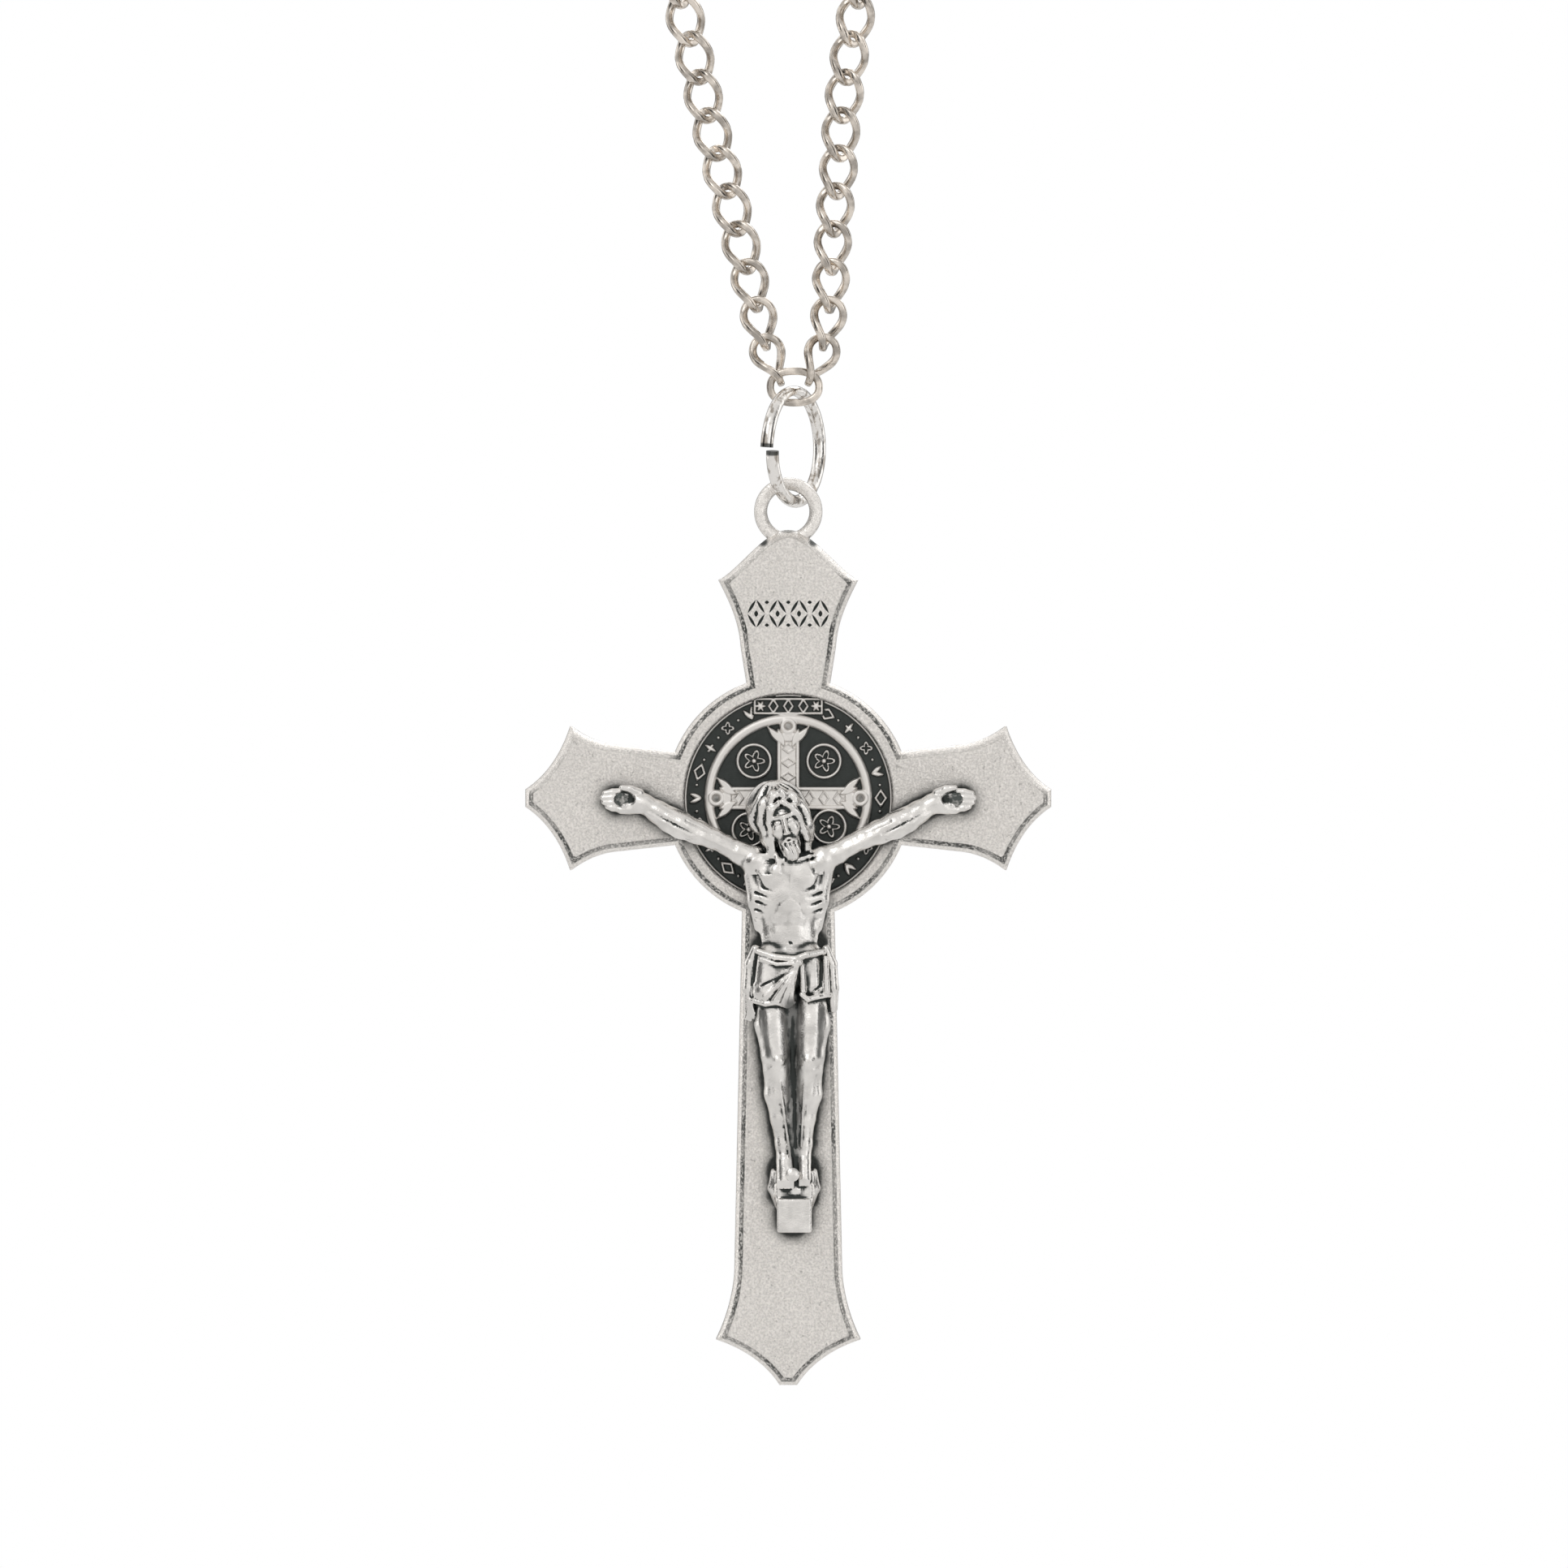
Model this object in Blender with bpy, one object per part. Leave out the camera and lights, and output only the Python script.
"""Crucifix pendant on a jump ring and a curb chain, hanging from the chain's closed clasp.

The pendant is a flat silver-plated casting with flared, pointed arm ends and a round medal
behind the figure. Sizes are in millimetres here and become metres when a mesh is written.
The front faces -Y, X runs to the right and Z is up. The origin is the top of the clasp,
straight above the middle of the cross.
"""

import math

import bmesh
import bpy
from mathutils import Matrix, Vector

MM = 0.001

# Curb chain
LINK_WIRE = 0.63
LINK_WIDTH = 2.85
LINK_PITCH = 2.75
LINK_GAP = 0.04
LINK_END_TWIST = math.radians(45)
LINK_SQUARENESS = 2.3
LINK_RINGS = 16
LINK_SIDES = 6
STRAND_LINKS = 12
# How far each link leans from upright, from the top of the strand down. A positive lean
# carries the lower end towards +X.
LEFT_LEANS_DEG = (10, 11, 13, 13, 12, 15, 15, 15, 15, 14, 14, 24)
RIGHT_LEANS_DEG = (-6, -6, -9, -8, -7, -3, -5, -4, -3, -3, -10, -24)
# How far each link is turned about its own length, from the top of the strand down.
LEFT_TURNS_DEG = (35, 17, 5, 0, 0, 0, 2, 6, 14, 26, 36, 45)
RIGHT_TURNS_DEG = (35, 20, 10, 6, 8, 12, 16, 20, 26, 32, 40, 45)

# Bottom link of the chain, which carries the jump ring
BOTTOM_LINK_X = 0.45
BOTTOM_HOOK_SPREAD = 0.84
BOTTOM_HOOK_RISE = 0.24

# Jump ring of the pendant
RING_WIRE = 0.95
RING_OUTER = 8.7
RING_TURN = math.radians(63)
RING_GAP = 0.04

# Cross
PLATE = 2.2
EYE_OUTER = 2.4
EYE_HOLE = 1.38
EYE_ABOVE_TIP = 2.05
EYE_HANG_GAP = 0.07
DISC_RADIUS = 8.0
EDGE_SLOPE = 0.42
# Each arm, from the centre of the disc: reach of its tip and corners, half width at the
# corners, and the waist where it starts to flare
TOP_ARM = {"tip": 18.45, "corner": 15.55, "half": 4.93}
TOP_ARM.update({"waist": 11.0, "waist_half": 3.35, "root_half": 2.95})
SIDE_ARM = {"tip": 18.45, "corner": 15.35, "half": 4.9, "waist": 12.0, "waist_half": 3.75, "root_half": 3.3}
LOW_ARM = {"tip": 40.8, "corner": 37.6, "half": 5.1, "waist": 32.75, "waist_half": 3.79, "root_half": 3.25}

# Medals let into both faces of the disc
MEDAL_RADIUS = 7.3
MEDAL_SINK = 0.62
MEDAL_THICK = 0.42
MEDAL_FIT = 0.03
MEDAL_RING = 5.55
MEDAL_RING_WIRE = 0.3
MEDAL_BAR = 1.6

# Figure and footrest, one casting held by three riveted nails
FIGURE_GAP = 0.04
FIGURE_VOXEL = 0.26
FIGURE_TRIANGLES = 4000
HAND_REACH = 11.7
HAND_RISE = -0.1
FEET_X = 0.3
FEET_DROP = 25.9
NAIL_RADIUS = 0.36
NAIL_HEAD = 0.6
NAIL_HEAD_THICK = 0.22
NAIL_FIT = 0.04

# Clasp
END_RING_WIRE = 0.6
END_RING_OUTER = 4.4
END_RING_TURN = math.radians(80)
END_RING_GAP = 0.2
CLASP_HEIGHT = 4.4
CLASP_LIMB = 1.0
CLASP_THICK = 1.1
CLASP_BLOCK_THICK = 2.2
CLASP_BLOCK = (-1.9, 1.7)
CLASP_NOSE = 0.2
CLASP_ROUND = 0.28
TAIL_OUTER = 1.5
TAIL_HOLE = 0.8
PIVOT_X = -0.6
PIVOT_DROP = 0.95
PIVOT_RADIUS = 0.3
PIVOT_FIT = 0.05
PIN_FIT = 0.03
LEVER_THICK = 0.8
LEVER_HEIGHT = 0.8
LEVER_GAP = 0.07
LEVER_SLOT = 0.94

CHAIN_COLOUR = (0.62, 0.59, 0.55)
SILVER_COLOUR = (0.72, 0.70, 0.67)
DARK_COLOUR = (0.30, 0.32, 0.31)


def clear_scene():
    for obj in list(bpy.data.objects):
        bpy.data.objects.remove(obj)


def metal(name, colour, roughness):
    material = bpy.data.materials.new(name)
    material.use_nodes = True
    shader = material.node_tree.nodes["Principled BSDF"]
    shader.inputs["Base Color"].default_value = (*colour, 1)
    shader.inputs["Roughness"].default_value = roughness
    shader.inputs["Metallic"].default_value = 1.0
    return material


def chain_metal(name):
    return metal(name, CHAIN_COLOUR, 0.25)


def cast_metal(name):
    return metal(name, SILVER_COLOUR, 0.38)


def medal_metal(name):
    return metal(name, DARK_COLOUR, 0.5)


def wire_metal(name):
    return metal(name, SILVER_COLOUR, 0.15)


def object_from(bm, name, origin=(0, 0, 0)):
    """Writes a bmesh in millimetres to an object whose origin is at the given point."""
    bmesh.ops.recalc_face_normals(bm, faces=bm.faces)
    shift = Vector(origin)
    for vert in bm.verts:
        vert.co = (vert.co - shift) * MM
    mesh = bpy.data.meshes.new(name)
    bm.to_mesh(mesh)
    bm.free()
    obj = bpy.data.objects.new(name, mesh)
    obj.location = shift * MM
    bpy.context.scene.collection.objects.link(obj)
    return obj


def settle(obj):
    """Applies the modifiers of an object."""
    graph = bpy.context.evaluated_depsgraph_get()
    mesh = bpy.data.meshes.new_from_object(obj.evaluated_get(graph))
    obj.modifiers.clear()
    obj.data = mesh
    return obj


def combine(target, tool, operation):
    """Cuts the tool from the target, or joins it on, and removes the tool."""
    change = target.modifiers.new("Combine", "BOOLEAN")
    change.operation = operation
    change.solver = "EXACT"
    change.object = tool
    bpy.context.view_layer.update()
    settle(target)
    bpy.data.objects.remove(tool)
    return target


def round_edges(obj, width, segments=2, angle=40):
    bevel = obj.modifiers.new("Bevel", "BEVEL")
    bevel.width = width * MM
    bevel.segments = segments
    bevel.limit_method = "ANGLE"
    bevel.angle_limit = math.radians(angle)
    return settle(obj)


def tube(rings, sides, closed):
    """Skins rings of points into a closed surface: a loop if closed, else a capped bar."""
    bm = bmesh.new()
    rows = [[bm.verts.new(point) for point in ring] for ring in rings]
    count = len(rows)
    for i in range(count if closed else count - 1):
        here = rows[i]
        there = rows[(i + 1) % count]
        for j in range(sides):
            k = (j + 1) % sides
            bm.faces.new((here[j], here[k], there[k], there[j]))
    if not closed:
        bm.faces.new(rows[0])
        bm.faces.new(rows[-1][::-1])
    return bm


def loop_of_wire(path, wire, sides, normals):
    """Sweeps a round wire along a closed path of points."""
    rings = []
    count = len(path)
    for i, point in enumerate(path):
        tangent = (path[(i + 1) % count] - path[i - 1]).normalized()
        across = normals[i] - tangent * normals[i].dot(tangent)
        across.normalize()
        third = tangent.cross(across)
        ring = []
        for j in range(sides):
            angle = 2 * math.pi * j / sides
            ring.append(point + (across * math.cos(angle) + third * math.sin(angle)) * wire / 2)
        rings.append(ring)
    return tube(rings, sides, True)


def circle_path(centre, radius, steps):
    """A circle that faces the front, as points and the direction of its face."""
    path = []
    for i in range(steps):
        angle = 2 * math.pi * (i + 0.5) / steps
        path.append(centre + Vector((math.cos(angle), 0, math.sin(angle))) * radius)
    return path, [Vector((0, 1, 0))] * steps


def oval_point(angle, half_width, half_length):
    """A point of a slightly squared oval, in the plane of x and z."""
    cosine = math.cos(angle)
    sine = math.sin(angle)
    power = 2 / LINK_SQUARENESS
    x = half_width * math.copysign(abs(cosine) ** power, cosine)
    z = half_length * math.copysign(abs(sine) ** power, sine)
    return x, z


def link_path(end_twist):
    """Centre line of one link, and the direction of its face along it."""
    half_width = (LINK_WIDTH - LINK_WIRE) / 2
    half_length = (LINK_PITCH + LINK_WIRE + LINK_GAP) / 2
    path = []
    normals = []
    for i in range(LINK_RINGS):
        angle = 2 * math.pi * (i + 0.5) / LINK_RINGS
        x, z = oval_point(angle, half_width, half_length)
        twist = -end_twist * math.sin(math.pi / 2 * z / half_length)
        path.append(Vector((x * math.cos(twist), x * math.sin(twist), z)))
        normals.append(Vector((-math.sin(twist), math.cos(twist), 0)))
    return path, normals


def chain_link(name, centre, lean, turn, pivot, end_twist=LINK_END_TWIST):
    path, normals = link_path(end_twist)
    bm = loop_of_wire(path, LINK_WIRE, LINK_SIDES, normals)
    place = Matrix.Translation(centre)
    place = place @ Matrix.Rotation(-lean, 4, "Y") @ Matrix.Rotation(turn, 4, "Z")
    bmesh.ops.transform(bm, matrix=place, verts=bm.verts)
    obj = object_from(bm, name, pivot)
    obj.data.materials.append(chain_metal(name))
    return obj


def link_drops():
    """Height between contacts, the same on both strands so that they swing as one."""
    drops = []
    for left, right in zip(LEFT_LEANS_DEG, RIGHT_LEANS_DEG):
        steepest = math.radians(max(abs(left), abs(right)))
        drops.append(LINK_PITCH * math.cos(steepest))
    return drops


def strand_contacts(bottom_x, leans, top_z):
    """Contact points of a strand from the top down."""
    drops = link_drops()
    x = bottom_x
    for lean, drop in zip(leans, drops):
        x -= drop * math.tan(math.radians(lean))
    z = top_z
    contacts = [Vector((x, 0, z))]
    for lean, drop in zip(leans, drops):
        x += drop * math.tan(math.radians(lean))
        z -= drop
        contacts.append(Vector((x, 0, z)))
    return contacts


def rest_height():
    """Height of the clasp's inner rest, on which both end rings hang."""
    return CLASP_LIMB - CLASP_HEIGHT


def end_ring_centre_z():
    return rest_height() + END_RING_GAP + END_RING_WIRE - END_RING_OUTER / 2


def chain_top_z():
    """Contact of an end ring with the first link."""
    bottom_wire = end_ring_centre_z() - (END_RING_OUTER - END_RING_WIRE) / 2
    return bottom_wire + END_RING_WIRE / 2 + LINK_GAP / 2


def bottom_contact(side):
    """The side is -1 for the left strand and 1 for the right one."""
    return BOTTOM_LINK_X + side * BOTTOM_HOOK_SPREAD


def left_contacts():
    return strand_contacts(bottom_contact(-1), LEFT_LEANS_DEG, chain_top_z())


def right_contacts():
    return strand_contacts(bottom_contact(1), RIGHT_LEANS_DEG, chain_top_z())


def build_strand(prefix, contacts, leans, turns):
    for i in range(STRAND_LINKS):
        centre = (contacts[i] + contacts[i + 1]) / 2
        name = f"{prefix}_link_{i + 1:02d}"
        chain_link(name, centre, math.radians(leans[i]), math.radians(turns[i]), contacts[i])


def bottom_link_centre():
    hook_z = left_contacts()[-1].z - (LINK_WIRE + LINK_GAP) / 2
    return Vector((BOTTOM_LINK_X, 0, hook_z - BOTTOM_HOOK_RISE))


def build_bottom_link():
    pivot = Vector((BOTTOM_LINK_X, 0, left_contacts()[-1].z))
    centre = bottom_link_centre()
    chain_link("bottom_link", centre, math.radians(90), 0, pivot, end_twist=0)


def jump_ring_centre():
    lower_limb = bottom_link_centre().z - (LINK_WIDTH - LINK_WIRE) / 2
    top_wire = lower_limb + (LINK_WIRE + RING_WIRE) / 2 + RING_GAP
    return Vector((BOTTOM_LINK_X, 0, top_wire - (RING_OUTER - RING_WIRE) / 2))


def round_ring(name, centre, outer, wire, turn, pivot, segments, sides):
    radius = (outer - wire) / 2
    across = Vector((math.cos(turn), math.sin(turn), 0))
    path = []
    normals = []
    for i in range(segments):
        angle = 2 * math.pi * (i + 0.5) / segments
        path.append(centre + (across * math.cos(angle) + Vector((0, 0, 1)) * math.sin(angle)) * radius)
        normals.append(Vector((-math.sin(turn), math.cos(turn), 0)))
    bm = loop_of_wire(path, wire, sides, normals)
    obj = object_from(bm, name, pivot)
    obj.data.materials.append(wire_metal(name))
    return obj


def build_jump_ring():
    centre = jump_ring_centre()
    top_wire = centre.z + (RING_OUTER - RING_WIRE) / 2
    pivot = Vector((centre.x, 0, top_wire - RING_WIRE / 2))
    round_ring("jump_ring", centre, RING_OUTER, RING_WIRE, RING_TURN, pivot, 36, 8)


def build_end_rings():
    z = end_ring_centre_z()
    for name, contacts in (("left_end_ring", left_contacts()), ("right_end_ring", right_contacts())):
        centre = Vector((contacts[0].x, 0, z))
        pivot = Vector((contacts[0].x, 0, rest_height()))
        round_ring(name, centre, END_RING_OUTER, END_RING_WIRE, END_RING_TURN, pivot, 24, 7)


def eye_centre():
    """The eye hangs on the lowest wire of the jump ring."""
    centre = jump_ring_centre()
    low_wire = centre.z - (RING_OUTER - RING_WIRE) / 2
    hang = EYE_HOLE - RING_WIRE / 2 - EYE_HANG_GAP
    side = abs(centre.x)
    return Vector((0, 0, low_wire - math.sqrt(hang * hang - side * side)))


def disc_centre():
    return eye_centre() - Vector((0, 0, TOP_ARM["tip"] + EYE_ABOVE_TIP))


def front_y():
    return -PLATE / 2


def bezier(points, steps):
    """Points of a cubic curve, without its last one."""
    found = []
    for i in range(steps):
        t = i / steps
        weights = ((1 - t) ** 3, 3 * t * (1 - t) ** 2, 3 * t * t * (1 - t), t**3)
        x = sum(w * p[0] for w, p in zip(weights, points))
        y = sum(w * p[1] for w, p in zip(weights, points))
        found.append((x, y))
    return found


def half_arm(arm):
    """One side of an arm from the disc to the tip, as distances along and across it."""
    root = math.sqrt(DISC_RADIUS**2 - arm["root_half"] ** 2)
    start = (root, arm["root_half"])
    waist = (arm["waist"], arm["waist_half"])
    corner = (arm["corner"], arm["half"])
    tip = (arm["tip"], 0)
    reach = arm["corner"] - arm["waist"]
    run = arm["tip"] - arm["corner"]
    flare = bezier(
        (
            waist,
            (waist[0] + 0.4 * reach, waist[1] + 0.1),
            (corner[0] - 0.25 * reach, corner[1] - 0.6),
            corner,
        ),
        6,
    )
    end = bezier(
        (corner, (corner[0] + 0.28 * run, corner[1] * 0.62), (tip[0] - 0.42 * run, corner[1] * 0.3), tip), 7
    )
    return [start] + flare + end, tip


def cross_outline():
    """Outline of the cross about the centre of its disc, anticlockwise from the right arm."""
    outline = []
    arms = ((SIDE_ARM, 0), (TOP_ARM, 1), (SIDE_ARM, 2), (LOW_ARM, 3))
    for arm, quarter in arms:
        side, tip = half_arm(arm)
        points = [(along, -across) for along, across in side] + [tip]
        points += [(along, across) for along, across in reversed(side)]
        turn = quarter * math.pi / 2
        turned = []
        for x, y in points:
            across = x * math.cos(turn) - y * math.sin(turn)
            turned.append((across, x * math.sin(turn) + y * math.cos(turn)))
        outline += turned
        next_arm = arms[(quarter + 1) % 4][0]
        start = math.asin(arm["root_half"] / DISC_RADIUS) + turn
        stop = turn + math.pi / 2 - math.asin(next_arm["root_half"] / DISC_RADIUS)
        for i in range(1, 7):
            angle = start + (stop - start) * i / 7
            outline.append((DISC_RADIUS * math.cos(angle), DISC_RADIUS * math.sin(angle)))
    return outline


def cylinder(name, centre, radius, depth, segments):
    """A cylinder along Y."""
    bm = bmesh.new()
    turn = Matrix.Translation(centre) @ Matrix.Rotation(math.pi / 2, 4, "X")
    bmesh.ops.create_cone(
        bm, cap_ends=True, segments=segments, radius1=radius, radius2=radius, depth=depth, matrix=turn
    )
    return object_from(bm, name)


def block(name, low, high):
    bm = bmesh.new()
    size = Vector(high) - Vector(low)
    middle = (Vector(high) + Vector(low)) / 2
    bmesh.ops.create_cube(bm, size=1, matrix=Matrix.Translation(middle) @ Matrix.Diagonal((*size, 1)))
    return object_from(bm, name)


def build_cross():
    centre = disc_centre()
    bm = bmesh.new()
    verts = [bm.verts.new((centre.x + x, front_y(), centre.z + z)) for x, z in cross_outline()]
    face = bm.faces.new(verts)
    made = bmesh.ops.extrude_face_region(bm, geom=[face])
    back = [item for item in made["geom"] if isinstance(item, bmesh.types.BMVert)]
    bmesh.ops.translate(bm, vec=(0, PLATE, 0), verts=back)
    front_edges = [edge for edge in bm.edges if all(v.co.y < 0 for v in edge.verts)]
    bmesh.ops.bevel(bm, geom=front_edges, offset=EDGE_SLOPE, segments=1, affect="EDGES", profile=0.5)
    cross = object_from(bm, "cross_body")
    eye_path, eye_normals = circle_path(eye_centre(), (EYE_OUTER + EYE_HOLE) / 2, 32)
    eye = object_from(loop_of_wire(eye_path, EYE_OUTER - EYE_HOLE, 8, eye_normals), "eye")
    combine(cross, eye, "UNION")
    for side in (-1, 1):
        face_y = side * PLATE / 2
        pocket = cylinder("medal_pocket", centre + Vector((0, face_y, 0)), MEDAL_RADIUS, 2 * MEDAL_SINK, 48)
        combine(cross, pocket, "DIFFERENCE")
    for spot in nail_spots():
        hole = cylinder("nail_hole", spot, NAIL_RADIUS + NAIL_FIT, PLATE * 2, 16)
        combine(cross, hole, "DIFFERENCE")
    cross.location = Vector((0, 0, 0))
    cross.data.materials.append(cast_metal("cross_body"))
    return cross


def nail_spots():
    centre = disc_centre()
    spots = [centre + Vector((side * HAND_REACH, 0, HAND_RISE)) for side in (-1, 1)]
    spots.append(centre + Vector((FEET_X, 0, -FEET_DROP)))
    return spots


def build_medal(name, side):
    """A medal with a raised ring and a raised cross, let into one face of the disc."""
    centre = disc_centre()
    floor = side * (PLATE / 2 - MEDAL_SINK)
    middle = floor + side * (MEDAL_FIT + MEDAL_THICK / 2)
    medal = cylinder(name, centre + Vector((0, middle, 0)), MEDAL_RADIUS - MEDAL_FIT, MEDAL_THICK, 48)
    top = floor + side * (MEDAL_FIT + MEDAL_THICK)
    lift = MEDAL_RING_WIRE / 2
    bm = bmesh.new()
    for reach, width in ((MEDAL_RING, MEDAL_BAR), (MEDAL_BAR / 2, 2 * MEDAL_RING)):
        size = (2 * reach, lift * 2, width)
        place = Matrix.Translation(centre + Vector((0, top, 0))) @ Matrix.Diagonal((*size, 1))
        bmesh.ops.create_cube(bm, size=1, matrix=place)
        bar = object_from(bm, "bar")
        combine(medal, bar, "UNION")
        bm = bmesh.new()
    bm.free()
    path, normals = circle_path(centre + Vector((0, top, 0)), MEDAL_RING, 36)
    ring = object_from(loop_of_wire(path, MEDAL_RING_WIRE, 6, normals), "ring")
    combine(medal, ring, "UNION")
    medal.data.materials.clear()
    medal.data.materials.append(medal_metal(name))
    return medal


def add_ball(bm, centre, radii, tilt=0.0):
    place = Matrix.Translation(centre) @ Matrix.Rotation(tilt, 4, "Y") @ Matrix.Diagonal((*radii, 1))
    bmesh.ops.create_icosphere(bm, subdivisions=3, radius=1, matrix=place)


def add_limb(bm, start, start_radius, stop, stop_radius):
    """A tapered limb with round ends."""
    start = Vector(start)
    stop = Vector(stop)
    span = stop - start
    turn = span.to_track_quat("Z", "Y").to_matrix().to_4x4()
    place = Matrix.Translation((start + stop) / 2) @ turn
    bmesh.ops.create_cone(
        bm,
        cap_ends=True,
        segments=16,
        radius1=start_radius,
        radius2=stop_radius,
        depth=span.length,
        matrix=place,
    )
    add_ball(bm, start, (start_radius,) * 3)
    add_ball(bm, stop, (stop_radius,) * 3)


def figure_upper(bm, y):
    """Head, arms and trunk, about the centre of the disc. The y is the figure's mid depth."""
    add_ball(bm, (-0.4, y - 0.75, -0.6), (1.45, 1.5, 1.9), math.radians(-8))
    add_ball(bm, (-0.5, y - 0.45, -2.1), (1.75, 1.2, 1.7), math.radians(-8))
    add_ball(bm, (-0.55, y - 1.2, -3.2), (0.8, 0.75, 1.1))
    add_ball(bm, (0, y - 0.2, -5.2), (2.75, 1.25, 2.3))
    add_ball(bm, (0, y - 0.1, -7.6), (2.3, 1.1, 2.2))
    add_ball(bm, (0.05, y, -9.8), (2.1, 1.0, 2.0))
    for side in (-1, 1):
        shoulder = (side * 2.6, y - 0.1, -3.5)
        elbow = (side * 6.9, y - 0.05, -1.85)
        wrist = (side * 10.2, y + 0.2, -0.5)
        palm = (side * 11.0, y + 0.25, -0.25)
        fingers = (side * 12.7, y + 0.2, 0.1)
        add_limb(bm, shoulder, 0.95, elbow, 0.72)
        add_limb(bm, elbow, 0.75, wrist, 0.52)
        add_limb(bm, wrist, 0.52, palm, 0.75)
        add_ball(bm, (side * HAND_REACH, y + 0.3, HAND_RISE), (1.25, 0.6, 0.98))
        add_limb(bm, palm, 0.7, fingers, 0.5)


def figure_lower(bm, y):
    """Cloth, legs, feet and footrest."""
    add_ball(bm, (0.1, y - 0.15, -12.0), (2.95, 1.35, 2.1))
    add_limb(bm, (2.3, y - 0.1, -11.0), 0.9, (3.0, y + 0.1, -14.0), 0.6)
    add_limb(bm, (-2.6, y, -12.6), 0.6, (-2.9, y + 0.1, -15.2), 0.4)
    knees = ((-1.0, -18.1), (1.15, -18.3))
    hips = (-1.25, 1.4)
    ankles = ((-0.2, -24.6), (0.75, -24.4))
    for hip, knee, ankle in zip(hips, knees, ankles):
        add_limb(bm, (hip, y, -12.6), 1.45, (knee[0], y - 0.55, knee[1]), 1.0)
        add_limb(bm, (knee[0], y - 0.5, knee[1]), 1.0, (ankle[0], y + 0.1, ankle[1]), 0.62)
        add_limb(bm, (ankle[0], y + 0.1, ankle[1]), 0.65, (FEET_X, y - 0.5, -FEET_DROP), 0.75)
    add_ball(bm, (FEET_X, y - 0.4, -FEET_DROP - 0.2), (0.95, 0.85, 1.0))


def footrest(bm, y_front, y_back):
    """A winged block that tapers downwards."""
    outline = ((-1.9, -25.6), (2.2, -25.6), (2.2, -27.2), (1.5, -27.9), (1.15, -30.1), (-0.65, -30.1))
    outline += ((-1.1, -27.9), (-1.9, -27.2))
    front = [bm.verts.new((x, y_front, z)) for x, z in outline]
    back = [bm.verts.new((x, y_back, z)) for x, z in outline]
    bm.faces.new(front)
    bm.faces.new(back[::-1])
    for i in range(len(outline)):
        j = (i + 1) % len(outline)
        bm.faces.new((front[i], front[j], back[j], back[i]))


def build_figure():
    """The figure as one flat-backed casting, made of overlapping shapes under one skin."""
    mid = -1.0
    bm = bmesh.new()
    figure_upper(bm, mid)
    figure_lower(bm, mid)
    footrest(bm, mid - 0.5, 0.6)
    base = disc_centre() + Vector((0, front_y() - FIGURE_GAP, 0))
    bmesh.ops.translate(bm, vec=base, verts=bm.verts)
    figure = object_from(bm, "corpus")
    skin = figure.modifiers.new("Skin", "REMESH")
    skin.mode = "VOXEL"
    skin.voxel_size = FIGURE_VOXEL * MM
    settle(figure)
    smooth = figure.modifiers.new("Smooth", "CORRECTIVE_SMOOTH")
    smooth.iterations = 3
    smooth.use_only_smooth = True
    settle(figure)
    thin = figure.modifiers.new("Thin", "DECIMATE")
    thin.ratio = FIGURE_TRIANGLES / max(1, len(figure.data.polygons) * 2)
    settle(figure)
    low = base + Vector((-20, 0, -40))
    high = base + Vector((20, 8, 10))
    combine(figure, block("back_cut", low, high), "DIFFERENCE")
    for spot in nail_spots():
        hole = cylinder("nail_hole", spot, NAIL_RADIUS + NAIL_FIT, 12, 16)
        combine(figure, hole, "DIFFERENCE")
    for spot, floor in zip(nail_spots(), nail_floors()):
        middle = spot + Vector((0, floor - 3, 0))
        seat = cylinder("nail_seat", middle, NAIL_HEAD + NAIL_FIT, 6, 20)
        combine(figure, seat, "DIFFERENCE")
    figure.data.materials.clear()
    figure.data.materials.append(cast_metal("corpus"))
    return figure


def nail_floors():
    """Depth at which each nail's head sits."""
    return (front_y() - 1.15, front_y() - 1.15, front_y() - 2.05)


def build_nails():
    names = ("left_hand_nail", "right_hand_nail", "feet_nail")
    for name, spot, floor in zip(names, nail_spots(), nail_floors()):
        head_back = floor - NAIL_FIT
        shank_end = PLATE / 2
        shank_start = head_back - NAIL_HEAD_THICK / 2
        length = shank_end - shank_start
        middle = spot + Vector((0, shank_start + length / 2, 0))
        nail = cylinder(name, middle, NAIL_RADIUS, length, 16)
        head_middle = spot + Vector((0, head_back - NAIL_HEAD_THICK / 2, 0))
        head = cylinder("head", head_middle, NAIL_HEAD, NAIL_HEAD_THICK, 20)
        combine(nail, head, "UNION")
        nail.data.materials.clear()
        nail.data.materials.append(cast_metal(name))


def stadium(centre_z, left, right, radius, y, steps):
    """Points of a long round-ended outline. The left and right are its end centres."""
    points = []
    for centre, start in ((right, -math.pi / 2), (left, math.pi / 2)):
        for i in range(steps + 1):
            angle = start + math.pi * i / steps
            up = centre_z + radius * math.sin(angle)
            points.append(Vector((centre + radius * math.cos(angle), y, up)))
    return points


def plate(name, points, thickness):
    bm = bmesh.new()
    face = bm.faces.new([bm.verts.new(point) for point in points])
    made = bmesh.ops.extrude_face_region(bm, geom=[face])
    back = [item for item in made["geom"] if isinstance(item, bmesh.types.BMVert)]
    bmesh.ops.translate(bm, vec=(0, thickness, 0), verts=back)
    return object_from(bm, name)


def clasp_left():
    """Centre of the round left end of the clasp's bow."""
    return left_contacts()[0].x + 0.2


def lever_tip_x():
    return clasp_left() + CLASP_NOSE


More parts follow.
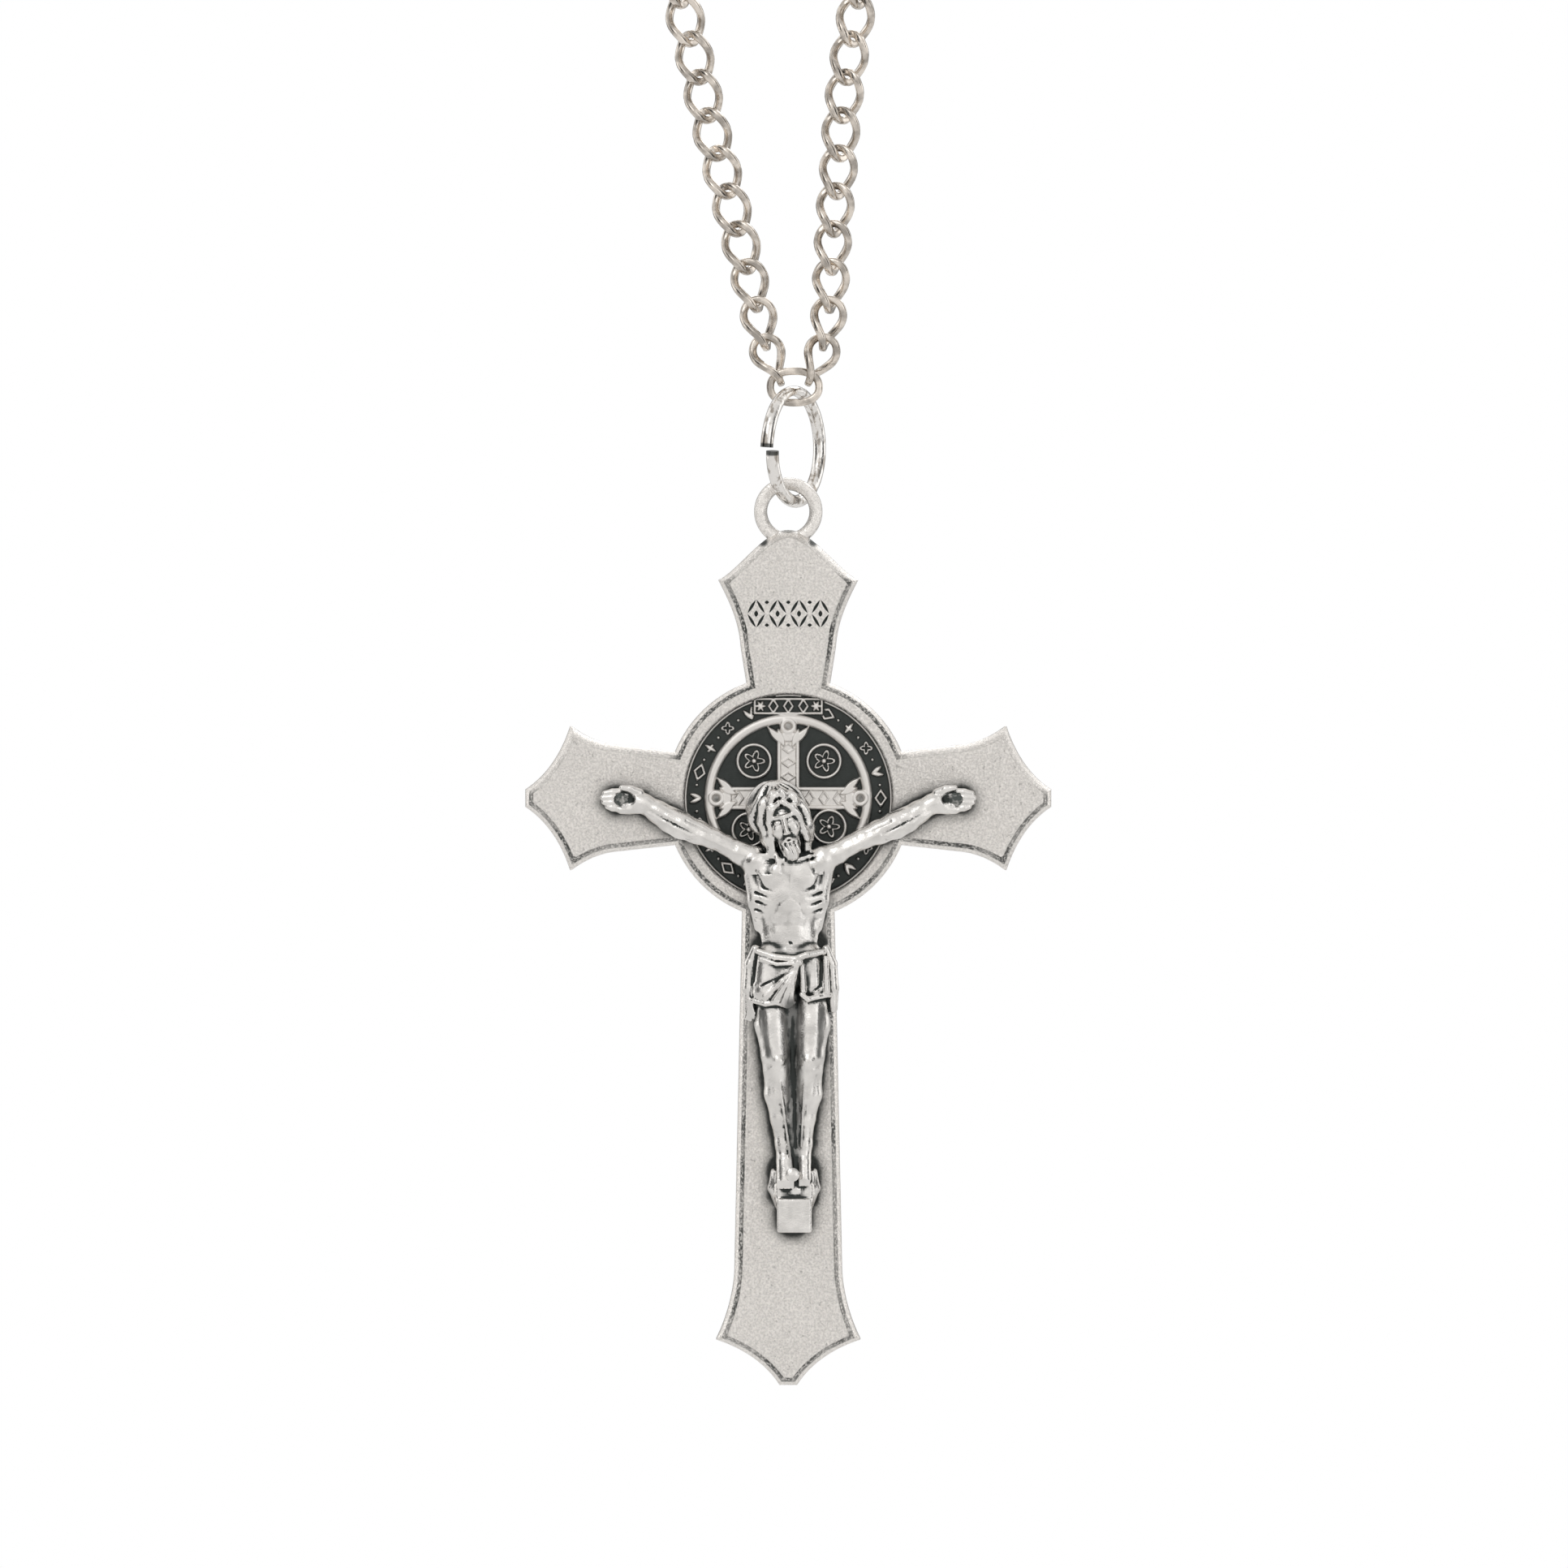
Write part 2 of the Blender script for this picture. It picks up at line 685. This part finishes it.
def build_clasp_body():
    middle_z = -CLASP_HEIGHT / 2
    radius = CLASP_HEIGHT / 2
    half = CLASP_THICK / 2
    left = clasp_left()
    tail = right_contacts()[0].x
    outline = stadium(middle_z, left, CLASP_BLOCK[1] - radius + 1, radius, -half, 12)
    body = plate("clasp_body", outline, CLASP_THICK)
    neck_low = (CLASP_BLOCK[1] - 0.5, -half, rest_height() + TAIL_HOLE - 0.6)
    neck_high = (tail - TAIL_HOLE - 0.2, half, rest_height() + TAIL_HOLE + 0.6)
    combine(body, block("neck", neck_low, neck_high), "UNION")
    tail_centre = Vector((tail, 0, rest_height() + TAIL_HOLE))
    combine(body, cylinder("tail", tail_centre, TAIL_OUTER, CLASP_THICK, 28), "UNION")
    cheek_low = (CLASP_BLOCK[0], -CLASP_BLOCK_THICK / 2, -CLASP_HEIGHT + 0.5)
    cheek_high = (CLASP_BLOCK[1], CLASP_BLOCK_THICK / 2, 0)
    combine(body, block("cheeks", cheek_low, cheek_high), "UNION")
    inner = radius - CLASP_LIMB
    hole = plate("bow_hole", stadium(middle_z, left, CLASP_BLOCK[0] - inner, inner, -3, 10), 6)
    combine(body, hole, "DIFFERENCE")
    combine(body, cylinder("tail_hole", tail_centre, TAIL_HOLE, 6, 24), "DIFFERENCE")
    gate_low = (lever_tip_x() - LEVER_GAP, -3, middle_z)
    gate_high = (CLASP_BLOCK[0] + 0.01, 3, 1)
    combine(body, block("gate", gate_low, gate_high), "DIFFERENCE")
    slot_low = (CLASP_BLOCK[0] - 1, -LEVER_SLOT / 2, -PIVOT_DROP - 1.1)
    slot_high = (PIVOT_X + 1.1, LEVER_SLOT / 2, 1)
    combine(body, block("slot", slot_low, slot_high), "DIFFERENCE")
    round_edges(body, CLASP_ROUND, 1, 60)
    pivot = Vector((PIVOT_X, 0, -PIVOT_DROP))
    combine(body, cylinder("pivot_hole", pivot, PIVOT_RADIUS, 6, 16), "DIFFERENCE")
    body.data.materials.clear()
    body.data.materials.append(wire_metal("clasp_body"))
    return body


def build_clasp_lever():
    """The sprung gate of the clasp, with a thumb tab on top."""
    pivot = Vector((PIVOT_X, 0, -PIVOT_DROP))
    half = LEVER_HEIGHT / 2
    points = []
    for i in range(9):
        angle = -math.pi / 2 + math.pi * i / 8
        points.append(pivot + Vector((math.cos(angle), 0, math.sin(angle))) * half * 1.5)
    tip = lever_tip_x()
    points.append(Vector((PIVOT_X - 1.7, 0, -PIVOT_DROP + half + 0.1)))
    points.append(Vector((PIVOT_X - 2.0, 0, 0.35)))
    points.append(Vector((PIVOT_X - 2.6, 0, 0.3)))
    points.append(Vector((PIVOT_X - 2.7, 0, -PIVOT_DROP + half)))
    points.append(Vector((tip, 0, -PIVOT_DROP + half)))
    points.append(Vector((tip, 0, -PIVOT_DROP - half)))
    for point in points:
        point.y = -LEVER_THICK / 2
    lever = plate("clasp_lever", points, LEVER_THICK)
    round_edges(lever, 0.1, 1)
    hole = cylinder("lever_hole", pivot, PIVOT_RADIUS + PIVOT_FIT, 6, 16)
    combine(lever, hole, "DIFFERENCE")
    lever.data.materials.clear()
    lever.data.materials.append(wire_metal("clasp_lever"))
    move_origin(lever, pivot)
    return lever


def move_origin(obj, point):
    """Puts the origin of an object that isn't turned at a point, without moving the shape."""
    shift = Vector(point) * MM - obj.location
    obj.data.transform(Matrix.Translation(-shift))
    obj.location += shift


def build_pivot_pin():
    length = CLASP_BLOCK_THICK
    centre = Vector((PIVOT_X, 0, -PIVOT_DROP))
    pin = cylinder("clasp_pivot_pin", centre, PIVOT_RADIUS - PIN_FIT, length, 16)
    pin.data.materials.clear()
    pin.data.materials.append(wire_metal("clasp_pivot_pin"))


def main():
    clear_scene()
    build_strand("left", left_contacts(), LEFT_LEANS_DEG, LEFT_TURNS_DEG)
    build_strand("right", right_contacts(), RIGHT_LEANS_DEG, RIGHT_TURNS_DEG)
    build_bottom_link()
    build_jump_ring()
    build_end_rings()
    cross = build_cross()
    ring = jump_ring_centre()
    hang_z = ring.z - (RING_OUTER - RING_WIRE) / 2
    move_origin(cross, (0, 0, hang_z))
    build_medal("front_medal", -1)
    build_medal("back_medal", 1)
    build_figure()
    build_nails()
    build_clasp_body()
    build_clasp_lever()
    build_pivot_pin()


main()
